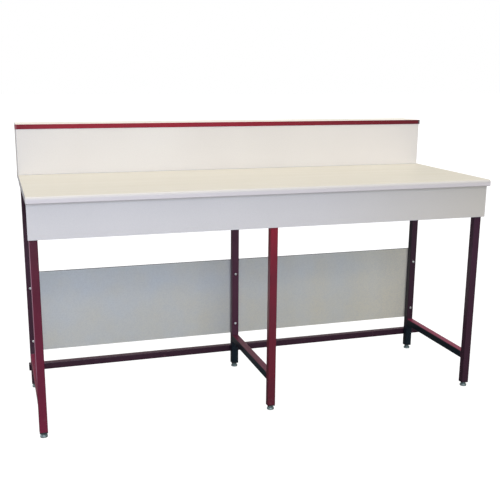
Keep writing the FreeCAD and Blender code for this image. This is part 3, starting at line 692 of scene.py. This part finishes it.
def frame_welds():
    """All round each butt joint, and above and below the rear stretcher at each leg. Beads on the
    frames' outer sides lie sunk in the tubes, so that they stand out less."""
    run = bead_run(25 * MM)
    sunk = 1 * MM
    for place in FRAMES:
        low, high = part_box(f"{place}_side_rail")
        middle = (low + high) / 2
        for row, y in (("front", low.y), ("rear", high.y)):
            weld(f"{row}_{place}_stretcher_weld", run, [
                ((middle.x, y, low.z), ALONG), ((middle.x, y, high.z), ALONG),
                ((low.x + sunk, y, middle.z), UP), ((high.x - sunk, y, middle.z), UP),
            ])
        for row in ROWS:
            low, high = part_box(f"{row}_{place}_leg")
            middle = (low + high) / 2
            front = low.y + sunk if row == "front" else low.y
            weld(f"{row}_{place}_bearer_weld", run, [
                ((middle.x, front, high.z), ALONG), ((middle.x, high.y, high.z), ALONG),
                ((low.x + sunk, middle.y, high.z), BACK), ((high.x - sunk, middle.y, high.z), BACK),
            ])
        # The leg taken last is the rear one, and the rear stretcher lies on its back
        bottom, top = (corner.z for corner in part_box("rear_rail"))
        weld(f"{place}_rear_weld", run, [
            ((middle.x, high.y, bottom), ALONG), ((middle.x, high.y, top), ALONG),
        ])
    drop(run)


frame_welds()


# Plastic caps

def push_in_cap(name, low, high, axis, out, corner, rim, reach=15 * MM, step=PLUG_STEP):
    """A cap: a head with rounded corners and a domed rim, and a plug that steps in by the tube's wall.
    Out is -1 or 1, the way that the head faces along its axis. Reach and step are the plug's."""
    cap = block(name, low, high)
    depth = (Vector(high) - Vector(low))[axis]
    round_edges(cap, corner, 6, lambda a, b: abs((a - b)[axis]) > 0.9 * depth)
    face = (high if out > 0 else low)[axis]
    round_edges(cap, rim, 4, lambda a, b: near(a[axis], face) and near(b[axis], face))
    choose(cap, "FACE", lambda centre, normal: normal[axis] * out < -0.9)
    bpy.ops.mesh.inset(thickness=step)
    shift = [0, 0, 0]
    shift[axis] = -out * reach
    extrude(shift)
    rest()
    return cap


def head_of(node, out, depth):
    """The corners of a cap's head, the outer end of its node along the bench."""
    low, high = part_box(node)
    if out < 0:
        high.x = low.x + depth
    else:
        low.x = high.x - depth
    return low, high


for place in FRAMES:
    low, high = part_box(f"{place}_top_rail")
    start, end = (low.x, high.y, low.z), (high.x, high.y + FLANGE, high.z)
    cap = push_in_cap(f"{place}_bearer_cap", start, end, Y, 1, TUBE_CORNER, 1 * MM)
    fit(cap, "top_rail_caps", BLACK)
for side, out, trim in (("left", -1, DULL_RED), ("right", 1, DARK_GREY)):
    low, high = head_of(f"rear_rail_{side}_cap", out, FLANGE)
    cap = push_in_cap(f"stretcher_{side}_cap", low, high, X, out, RAIL_CORNER, 1 * MM)
    fit(cap, f"rear_rail_{side}_cap", BLACK)
    low, high = head_of(f"trim_{side}_cap", out, 8 * MM)
    cap = push_in_cap(f"edge_strip_{side}_cap", low, high, X, out, 1.2 * MM, 1.2 * MM, step=1.6 * MM)
    fit(cap, f"trim_{side}_cap", trim)


# Red edge strip

def edge_strip():
    """The strip: an extruded profile with soft edges and a flat channel down its front."""
    lip = 3.5 * MM
    low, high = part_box("upstand_trim")
    strip = block("edge_strip", low, high)
    round_edges(strip, 1.2 * MM, 4, lambda a, b: abs((a - b).x) > 0.9 * (high - low).x)
    for z in (low.z + lip, high.z - lip):
        choose(strip, "FACE", lambda centre, normal: normal.y < -0.9)
        bpy.ops.mesh.bisect(plane_co=(0, 0, z), plane_no=UP)
        rest()
    middle = (low.z + high.z) / 2
    choose(strip, "FACE", lambda centre, normal: normal.y < -0.9 and near(centre.z, middle, 2 * MM))
    bpy.ops.mesh.inset(thickness=0.4 * MM, depth=-0.4 * MM)
    rest()
    bore(strip, 1.5 * MM, X)
    fit(strip, "upstand_trim", RED)


edge_strip()


# Screws, bolts, nuts and washers

def hexagon(name, foot, corner, height, chamfer):
    """A hexagon turned to a chamfer at both ends, which just takes off its corners' points."""
    blank = rod(name, foot, corner, height, 6)
    turned = rod("turning", foot, 0.99 * corner, height, 72)
    ends = (foot[2], foot[2] + height)
    round_edges(turned, chamfer, 1, lambda a, b: any(near(a.z, end) and near(b.z, end) for end in ends))
    cut(blank, turned, "INTERSECT")
    return blank


def thread(name, foot, radius, depth, pitch, length, steps):
    """A threaded rod: a core with a ridge wound round it, and a lead-in chamfer at its upper end."""
    root, top = radius - depth, foot[2] + length
    core = rod(name, foot, root, length, steps * 2)
    round_edges(core, depth, 1, lambda a, b: near(a.z, top) and near(b.z, top))
    # The ridge's section: one face of a thin block, sunk into the core and narrow at its crest
    half, thin = 0.42 * pitch, 0.01 * MM
    ridge = block("ridge", (root - 0.1 * MM, -thin, -half), (radius, thin, half))
    choose(ridge, "FACE", lambda centre, normal: normal.y < 0.9)
    bpy.ops.mesh.delete(type="FACE")
    rest()
    choose(ridge, "VERT", lambda point: point.x > radius - thin)
    bpy.ops.transform.resize(value=(1, 1, 0.18), center_override=(radius, 0, 0))
    rest()
    ridge.location = Vector(foot) + UP * (0.5 * pitch)
    settle(ridge, "ridge")
    turns = int((length - depth) / pitch) - 1
    apply_modifier(
        ridge, "SCREW", axis="Z", angle=math.tau, screw_offset=pitch, iterations=turns, steps=steps,
        render_steps=steps, use_merge_vertices=True, use_smooth_shade=False,
    )
    choose(ridge, "VERT", lambda point: True)
    bpy.ops.mesh.fill_holes(sides=6)
    bpy.ops.mesh.normals_make_consistent(inside=False)
    rest()
    return join(name, [core, ridge])


def domed_head(name, radius, height, dome, sides=48):
    """A low round head under the origin, its rim rounded into a dome."""
    head = rod(name, (0, 0, -height), radius, height, sides)
    round_edges(head, dome, 8, lambda a, b: near(a.z, -height) and near(b.z, -height))
    return head


def panel_bolt():
    """M6 button-head bolt with a 4 mm socket, long enough for the tube, the panel, a washer and a nut."""
    threaded, pitch = 9.6 * MM, 1 * MM
    head = domed_head("bolt_head", 5.5 * MM, 3.3 * MM, 2.7 * MM)
    cut(head, rod("key", (0, 0, -4 * MM), 2.31 * MM, 2.5 * MM, 6))
    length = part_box("panel_bolts")[1].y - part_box("rear_left_leg")[0].y
    shank = rod("shank", (0, 0, -0.5 * MM), 2.95 * MM, length - 9 * MM, 32)
    end = thread("bolt_thread", (0, 0, length - threaded), 2.97 * MM, 0.55 * MM, pitch, threaded, 16)
    return join("panel_bolt", [head, shank, end])


def cross_head_screw(name, grip):
    """Pan-head wood screw with a cross recess and a gimlet point."""
    arm, width = 2.4 * MM, 0.45 * MM
    head = domed_head("screw_head", 5 * MM, 2.6 * MM, 2.1 * MM, 40)
    for x, y in ((arm, width), (width, arm)):
        cut(head, block("driver", (-x, -y, -3 * MM), (x, y, -1.2 * MM)))
    shank = rod("screw_shank", (0, 0, -0.5 * MM), 2.45 * MM, grip + 10 * MM, 24)
    choose(shank, "FACE", lambda centre, normal: normal.z > 0.9)
    extrude((0, 0, 2.4 * MM))
    bpy.ops.transform.resize(value=(0.08, 0.08, 1))
    rest()
    return join(name, [head, shank])


def flat_washer():
    """Punched washer, its edges broken by tumbling."""
    washer = rod("washer", (0, 0, 0), 6.5 * MM, WASHER, 48)
    bore(washer, 3.2 * MM, Z)
    ease(washer, 0.2 * MM)
    return washer


def hex_nut():
    """M6 nut, bored to the bolt's thread."""
    nut = hexagon("nut", (0, 0, 0), 5.8 * MM, 5 * MM, 0.7 * MM)
    cut(nut, rod("tap", (0, 0, -1 * MM), 3.02 * MM, 7 * MM, 32))
    return nut


def middle_of(place):
    """Where the middle of a frame lies along the bench."""
    low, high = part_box(f"rear_{place}_leg")
    return (low.x + high.x) / 2


def panel_fastenings():
    """Two bolts through each rear leg, with a washer and a nut behind the panel."""
    bolt, washer, nut = panel_bolt(), flat_washer(), hex_nut()
    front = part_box("rear_left_leg")[0].y
    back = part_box("rear_panel")[1].y
    low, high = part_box("panel_bolts")
    head_radius = 5.5 * MM
    for place in FRAMES:
        x = middle_of(place)
        for level, z in (("low", low.z + head_radius), ("high", high.z - head_radius)):
            fit(copy_at(bolt, f"{place}_{level}_bolt", (x, front, z), BACK), "panel_bolts", ZINC)
            fit(copy_at(washer, f"{place}_{level}_washer", (x, back, z), BACK), "panel_washers", ZINC)
            fit(copy_at(nut, f"{place}_{level}_nut", (x, back + WASHER, z), BACK), "panel_nuts", ZINC)
    drop(bolt, washer, nut)


def angle_bracket():
    """Pressed steel angle with a bent corner and rounded ends. Its bend is at the origin."""
    leg, half, plate = BRACKET_LEG, 11 * MM, BRACKET_PLATE
    angle = block("angle", (-half, 0, -leg), (half, plate, 0))
    choose(angle, "FACE", lambda centre, normal: True)
    bpy.ops.mesh.bisect(plane_co=(0, 0, -plate), plane_no=UP)
    rest()
    choose(angle, "FACE", lambda centre, normal: normal.y > 0.9 and centre.z > -plate)
    extrude((0, leg - plate, 0))
    rest()

    def tip(a, b):
        """The short edges at the ends of both legs."""
        down = near(a.z, -leg) and near(b.z, -leg) and abs((a - b).y) > plate / 2
        back = near(a.y, leg) and near(b.y, leg) and abs((a - b).z) > plate / 2
        return down or back

    def bend(at):
        """A test for the long edge of the bend that lies this far inside it."""
        return lambda a, b: abs((a - b).x) > half and near(a.y, at) and near(a.z, -at)

    round_edges(angle, 4 * MM, 6, tip)
    round_edges(angle, 1.5 * MM, 4, bend(plate))
    round_edges(angle, 1.2 * MM, 4, bend(0))
    ease(angle, 0.3 * MM)
    return angle


def wood_fastenings():
    """Screws of the worktop, the fascia, its brackets and the upstand's blocks."""
    long_screw = cross_head_screw("long_screw", 30 * MM)
    short_screw = cross_head_screw("short_screw", 2.5 * MM)
    block_screw = cross_head_screw("block_screw", 20 * MM)
    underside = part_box("worktop")[0].z
    low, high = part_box("left_top_rail")
    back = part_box("front_left_leg")[1].y
    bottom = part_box("front_fascia")[0].z
    for place in FRAMES:
        x = middle_of(place)
        for number, share in enumerate((0.12, 0.5, 0.9), start=1):
            spot = (x, low.y + share * (high.y - low.y), low.z)
            fit(copy_at(long_screw, f"{place}_bearer_screw_{number}", spot), "worktop_screws", ZINC)
        for number, share in enumerate((0.25, 0.75), start=1):
            spot = (x, back, bottom + share * (low.z - bottom))
            fit(copy_at(long_screw, f"{place}_fascia_screw_{number}", spot, FRONT), "fascia_screws", ZINC)
    left, right = (corner.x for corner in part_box("worktop"))
    angle = angle_bracket()
    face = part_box("front_fascia")[1].y
    hole = 0.6 * BRACKET_LEG
    for number, share in enumerate((0.13, 0.37, 0.63, 0.87), start=1):
        x = left + share * (right - left)
        fit(copy_at(angle, f"fascia_bracket_{number}", (x, face, underside)), "fascia_brackets", ZINC)
        spot = (x, face + BRACKET_PLATE, underside - hole)
        fit(copy_at(short_screw, f"bracket_wall_screw_{number}", spot, FRONT), "bracket_screws", ZINC)
        spot = (x, face + hole, underside - BRACKET_PLATE)
        fit(copy_at(short_screw, f"bracket_ledge_screw_{number}", spot), "bracket_screws", ZINC)
    length, side = 50 * MM, 20 * MM
    cube = block("cube", (0, 0, 0), (length, side, side))
    ease(cube, 1.2 * MM, 1)
    left, right = (corner.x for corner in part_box("upstand_front"))
    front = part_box("upstand_front")[1].y
    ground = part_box("worktop")[1].z
    for number, share in enumerate((0.08, 0.36, 0.64, 0.92), start=1):
        x = left + share * (right - left) - length / 2
        fit(copy_at(cube, f"corner_block_{number}", (x, front, ground)), "corner_blocks", BEECH)
        spot = (x + 0.3 * length, front + side, ground + side / 2)
        fit(copy_at(block_screw, f"block_back_screw_{number}", spot, FRONT), "block_screws", ZINC)
        spot = (x + 0.7 * length, front + side / 2, ground + side)
        fit(copy_at(block_screw, f"block_down_screw_{number}", spot, DOWN), "block_screws", ZINC)
    drop(long_screw, short_screw, block_screw, angle, cube)


panel_fastenings()
wood_fastenings()
dowels = frame["nodes"]["upstand_dowels"].data.materials
dowels.clear()
dowels.append(BEECH)


# Levelling feet

def foot_pad():
    """Turned pad: a straight rim, a cone above it and the socket that the stud swivels in."""
    radius, top_radius, socket_radius = 14 * MM, 10.5 * MM, 6.1 * MM
    rim, cone, socket = 6.5 * MM, 3.5 * MM, 6 * MM
    pad = rod("pad", (0, 0, 0), radius, rim, 72)
    choose(pad, "FACE", lambda centre, normal: normal.z > 0.9)
    extrude((0, 0, cone))
    bpy.ops.transform.resize(value=(top_radius / radius, top_radius / radius, 1))
    bpy.ops.mesh.inset(thickness=top_radius - socket_radius)
    extrude((0, 0, -socket))
    rest()
    ease(pad, 0.5 * MM, 3, 30)
    return pad


def foot_stud():
    """M10 stud: a swivel pin, a hexagon for the spanner and a rolled thread of 1.5 mm pitch."""
    end = 4 * MM
    pin = rod("pin", (0, 0, end), 6 * MM, 6.4 * MM, 48)
    round_edges(pin, 0.6 * MM, 2, lambda a, b: near(a.z, end) and near(b.z, end))
    collar = hexagon("collar", (0, 0, 10.3 * MM), 8.6 * MM, 5 * MM, 0.9 * MM)
    neck = thread("neck", (0, 0, 15.2 * MM), 4.97 * MM, 0.75 * MM, 1.5 * MM, 36.1 * MM, 24)
    return join("stud", [pin, collar, neck])


def foot_insert():
    """The black insert: a head as wide as the tube, a plug and the bore for the thread."""
    half, depth = 15 * MM, 4.5 * MM
    low, high = (-half, -half, -depth), (half, half, 0)
    insert = push_in_cap("insert", low, high, Z, -1, TUBE_CORNER, 0.8 * MM, reach=22 * MM)
    cut(insert, rod("drill", (0, 0, -6 * MM), 5.03 * MM, 32 * MM, 48))
    return insert


def levelling_feet():
    """A pad, a stud and an insert under each leg."""
    pad, stud, insert = foot_pad(), foot_stud(), foot_insert()
    for row in ROWS:
        for place in FRAMES:
            low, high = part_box(f"{row}_{place}_leg")
            x, y = (low.x + high.x) / 2, (low.y + high.y) / 2
            name = f"{row}_{place}_foot"
            fit(copy_at(pad, f"{row}_{place}_pad", (x, y, 0)), f"{name}_pad", DULL_ZINC)
            fit(copy_at(stud, f"{row}_{place}_stud", (x, y, 0)), f"{name}_stud", DULL_ZINC)
            fit(copy_at(insert, f"{row}_{place}_insert", (x, y, low.z)), "foot_inserts", BLACK)
    drop(pad, stud, insert)


levelling_feet()


# Floor, light and camera

def pale_floor():
    """Plain white floor: paper white to the eye, while it throws little light back up at the bench. It
    lies as low as a foot reaches when it is screwed right out, so that the pads always show."""
    lowest = -21 * MM
    rest()
    bpy.ops.mesh.primitive_plane_add(size=80, location=(0, 0, lowest))
    floor = bpy.context.object
    floor.name = "floor"
    material, tree, where = surface("pale_floor", Roughness=0.9, Specular_IOR_Level=0.1)
    shader = tree.nodes["Principled BSDF"]
    cloud = add(tree, "TexNoise", None, {"Scale": 0.7, "Detail": 2}, where)
    tone = add(tree, "Mix", COLOUR, {6: ink("#636363"), 7: ink("#5c5c5c")}, {0: cloud.outputs["Fac"]})
    tree.links.new(tone.outputs[2], shader.inputs["Base Color"])
    shader.inputs["Emission Color"].default_value = (1, 1, 1, 1)
    tree.links.new(add(tree, "LightPath").outputs["Is Camera Ray"], shader.inputs["Emission Strength"])
    floor.data.materials.append(material)


def studio_world(ambient):
    """A white room: as bright as paper behind the bench, dim where it lights it."""
    world = bpy.data.worlds.new("white_room")
    world.use_nodes = True
    tree = world.node_tree
    room = tree.nodes["Background"]
    room.inputs["Color"].default_value = (1, 1, 1, 1)
    seen = add(tree, "LightPath").outputs["Is Camera Ray"]
    strength = add(tree, "MapRange", None, {1: 0, 2: 1, 3: ambient, 4: 1}, {0: seen})
    tree.links.new(strength.outputs[0], room.inputs["Strength"])
    bpy.context.scene.world = world


def sun(name, direction, strength, spread, colour, shine=True):
    """Even light from one side. The direction points from the bench to the light, and a strength of 1
    makes a white sheet that faces it white. A light without shine leaves no gloss."""
    rest()
    bpy.ops.object.light_add(type="SUN", rotation=Vector(direction).to_track_quat("Z", "Y").to_euler())
    lamp = bpy.context.object
    lamp.name = name
    lamp.data.energy = strength * math.pi
    lamp.data.angle = math.radians(spread)
    lamp.visible_glossy = shine
    lamp.data.color = ink(colour)[:3]


def softbox(name, spot, target, size, strength, colour):
    """A square panel of soft light. A strength of 1 makes a white sheet at its target white."""
    rest()
    spot, target = Vector(spot), Vector(target)
    bpy.ops.object.light_add(
        type="AREA", location=spot, rotation=(spot - target).to_track_quat("Z", "Y").to_euler(),
    )
    lamp = bpy.context.object
    lamp.name = name
    lamp.data.energy = strength * (math.pi * (spot - target).length) ** 2
    lamp.data.size = size
    lamp.data.color = ink(colour)[:3]


def photograph_camera():
    """The photograph's view, from a camera fitted to the bench's edges in it."""
    spot = Vector((-1.0296, -3.1396, 1.3152))
    yaw, pitch, roll = (math.radians(angle) for angle in (17.696, -13.868, 0.484))
    ahead = Vector((math.sin(yaw) * math.cos(pitch), math.cos(yaw) * math.cos(pitch), math.sin(pitch)))
    level = Vector((math.cos(yaw), -math.sin(yaw), 0))
    above = level.cross(ahead)
    right = math.cos(roll) * level + math.sin(roll) * above
    above = math.cos(roll) * above - math.sin(roll) * level
    turn = Matrix((right, above, -ahead)).transposed().to_4x4()
    rest()
    bpy.ops.object.camera_add()
    camera = bpy.context.object
    camera.matrix_world = Matrix.Translation(spot) @ turn
    # The picture's side, the focal length and the point straight ahead, in pixels
    side, focal, across, down = 500, 805.288, 247.592, 268.297
    camera.data.sensor_width = 36
    camera.data.lens = camera.data.sensor_width * focal / side
    camera.data.shift_x = 0.5 - across / side
    camera.data.shift_y = down / side - 0.5
    bpy.context.scene.camera = camera


pale_floor()
studio_world(0.42)
sun("ceiling_light", (-0.12, -0.05, 1), 0.62, 45, "#fffdf7")
sun("front_light", (0.12, -1, 0.05), 0.4, 22, "#f1f7ff")
sun("lamp_over_the_bench", (0.1, -1, 0.65), 0.08, 6, "#fff9f0")
softbox("left_window", (-0.9, -3.0, 1.6), (-0.6, 0, 0.7), 1.2, 0.34, "#cbd9ff")
sun("left_fill", (-1, 0.36, 0.08), 0.1, 40, "#e7f1ff")
softbox("left_lamp", (-2.1, 0.2, 0.35), (-0.9, 0, 0.45), 0.7, 0.3, "#f4efff")
sun("right_fill", (1, 0.25, 0.12), 0.3, 40, "#fffbf5", shine=False)
sun("back_fill", (0.25, 1, 0.12), 0.3, 40, "#fffbf5", shine=False)
photograph_camera()
bpy.context.scene.view_settings.view_transform = "Standard"
